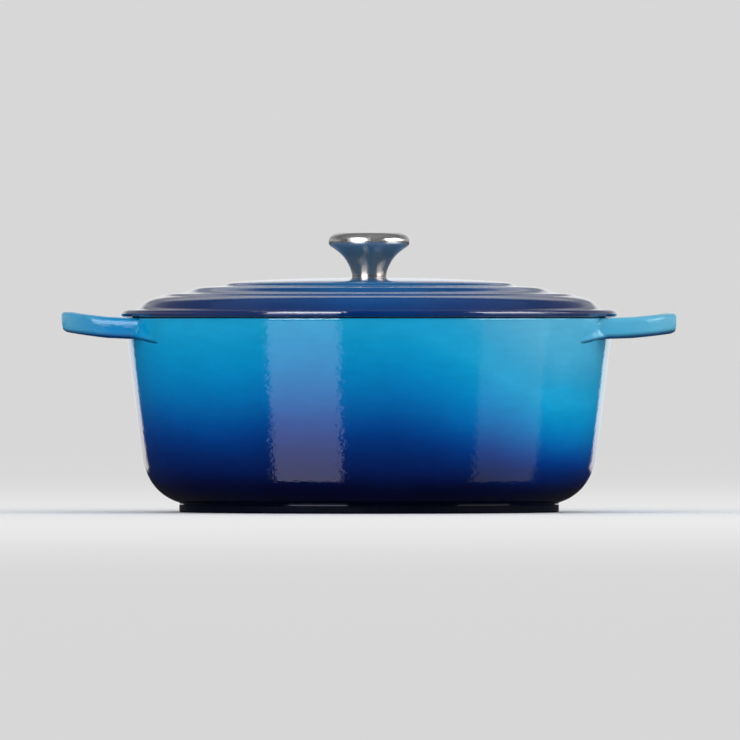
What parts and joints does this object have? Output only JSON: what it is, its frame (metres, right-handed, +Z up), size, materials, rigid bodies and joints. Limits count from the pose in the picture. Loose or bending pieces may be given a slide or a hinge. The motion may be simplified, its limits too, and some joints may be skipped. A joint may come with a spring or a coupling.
{
  "type": "dutch oven",
  "caption": "Round enamelled cast iron dutch oven with two loop handles, a stepped domed lid that lifts off and a flared steel knob.",
  "frame": {"origin": "the middle of the circle that the pot stands on, at the ground", "axes": "+X through one loop handle, +Z up, so the two handles lie along X and the camera looks along +Y"},
  "size_m": [0.3514, 0.283, 0.1592],
  "materials": {
    "azure_enamel": "glossy vitreous enamel over cast iron, fading from cyan blue at the rim to navy at the foot",
    "indigo_enamel": "glossy vitreous enamel over cast iron",
    "sand_enamel": "glossy sand-coloured enamel inside",
    "black_enamel": "matt black enamel on the rims",
    "stainless_steel": "satin stainless steel",
    "plain_steel": "zinc plated steel"
  },
  "bodies": {
    "pot": {"pot": "azure_enamel"},
    "lid": {"lid": "indigo_enamel", "knob_shell": "stainless_steel", "knob_core": "plain_steel", "flat_washer": "plain_steel", "spring_washer": "plain_steel", "knob_screw": "plain_steel"}
  },
  "joints": [
    {"name": "lid_lift", "type": "slide", "parent": "pot", "child": "lid", "axis": [0, 0, 1], "range_m": [0, 0.15]}
  ]
}
